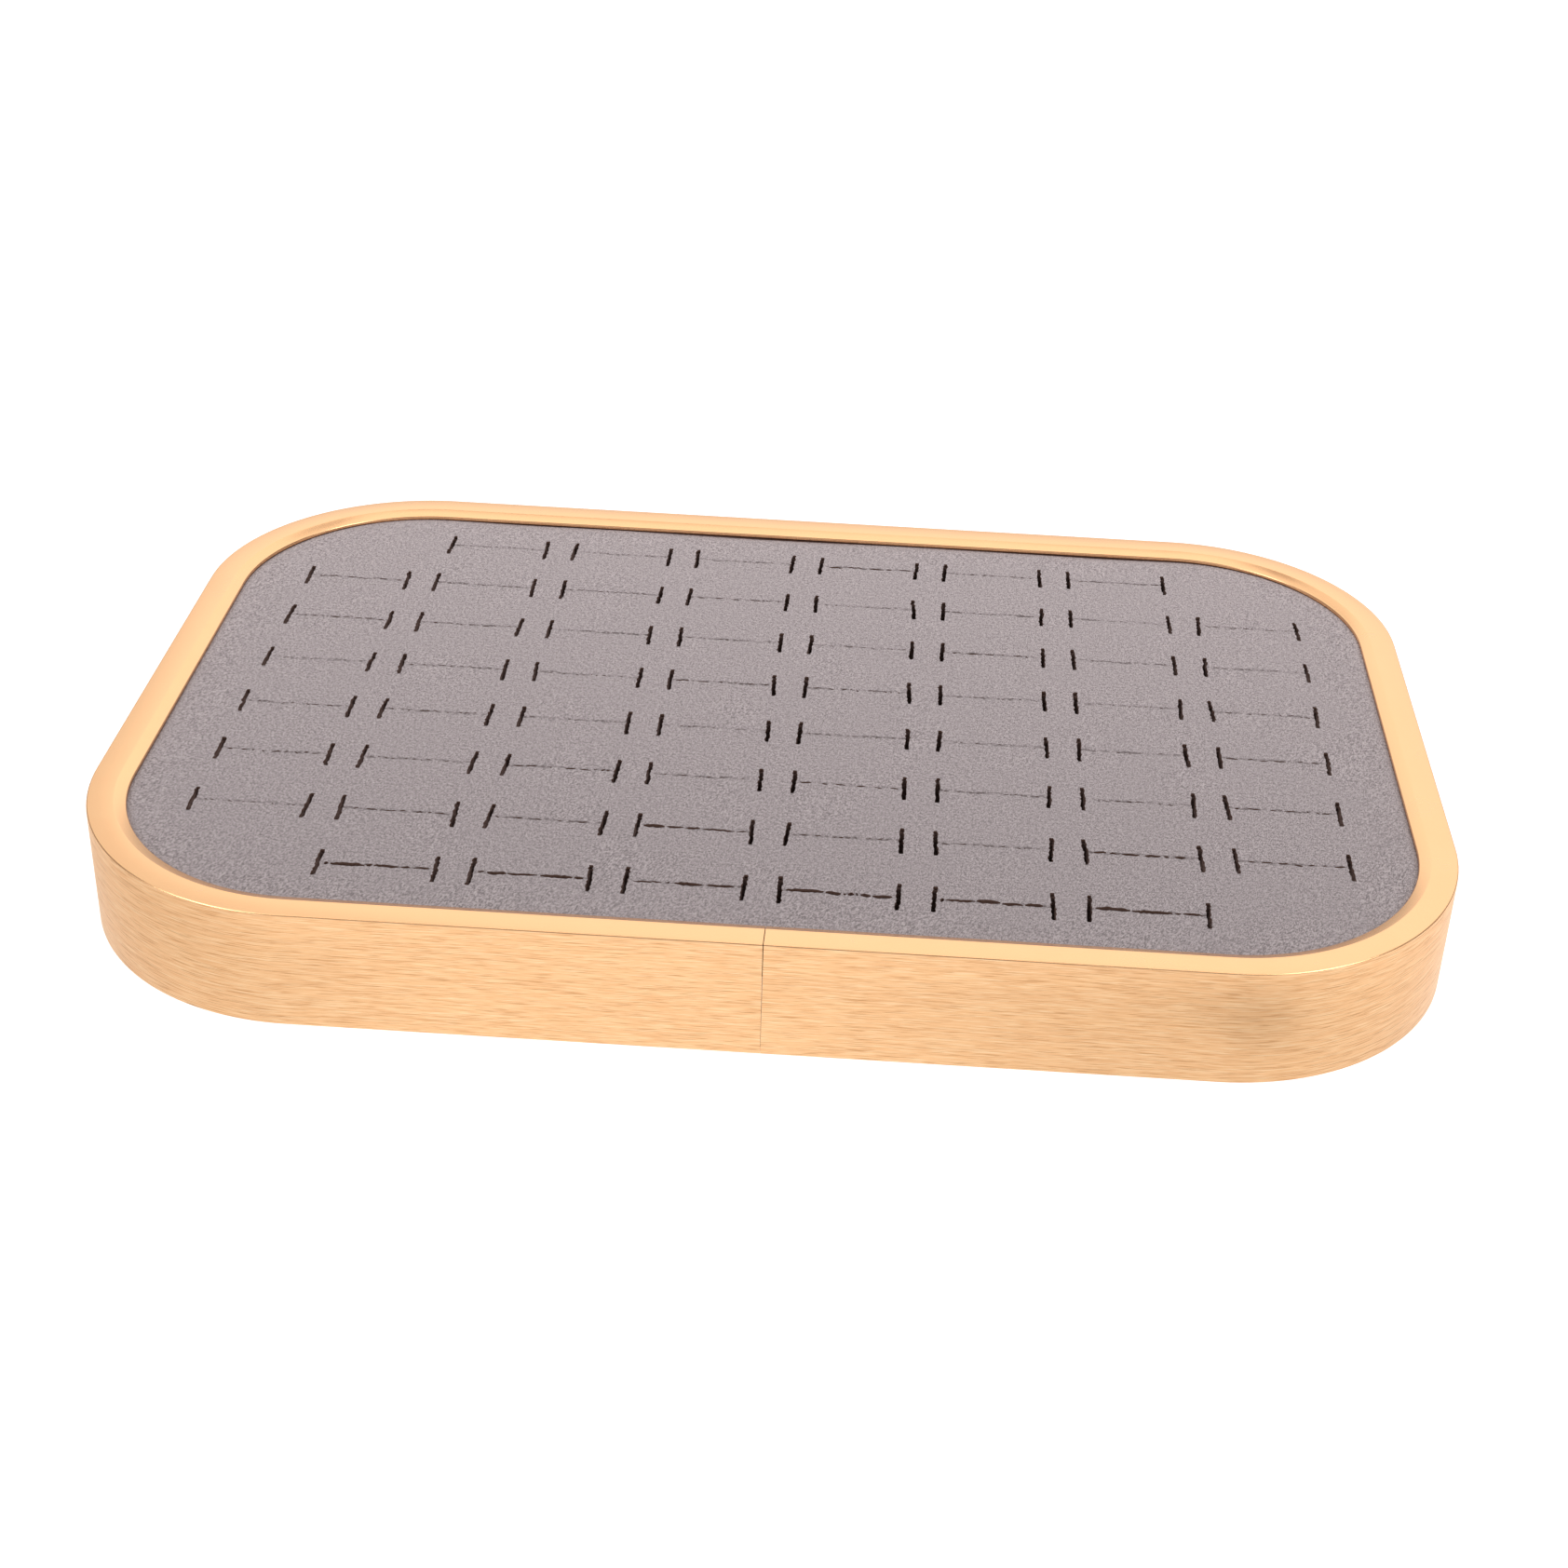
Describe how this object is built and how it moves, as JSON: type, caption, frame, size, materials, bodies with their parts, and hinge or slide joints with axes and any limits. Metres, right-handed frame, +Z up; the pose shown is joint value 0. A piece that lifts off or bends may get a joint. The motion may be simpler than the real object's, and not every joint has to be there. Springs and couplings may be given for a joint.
{
  "type": "ring tray",
  "caption": "Shallow rounded-rectangle display tray: a metal frame round a cloth-covered foam pad, cut with rows of H-shaped slits that hold finger rings upright.",
  "frame": {"origin": "middle of the underside, on the surface that the tray stands on", "axes": "+X along the length to the right, +Y to the back, away from the butt joint in the frame, +Z up"},
  "size_m": [0.35, 0.235, 0.032],
  "materials": {
    "anodised_aluminium": "champagne gold anodised, brushed wall and satin lip",
    "plain_aluminium": "mill finish",
    "microfibre": "short grey nap",
    "foam": "dark open-cell foam",
    "fibreboard": "raw medium-density board",
    "felt": "thin needled felt"
  },
  "bodies": {
    "root": {"frame": "anodised_aluminium", "joint_splice": "plain_aluminium", "microfibre_cover": "microfibre", "foam_pad": "foam", "base_board": "fibreboard", "felt_underside": "felt"}
  },
  "joints": []
}
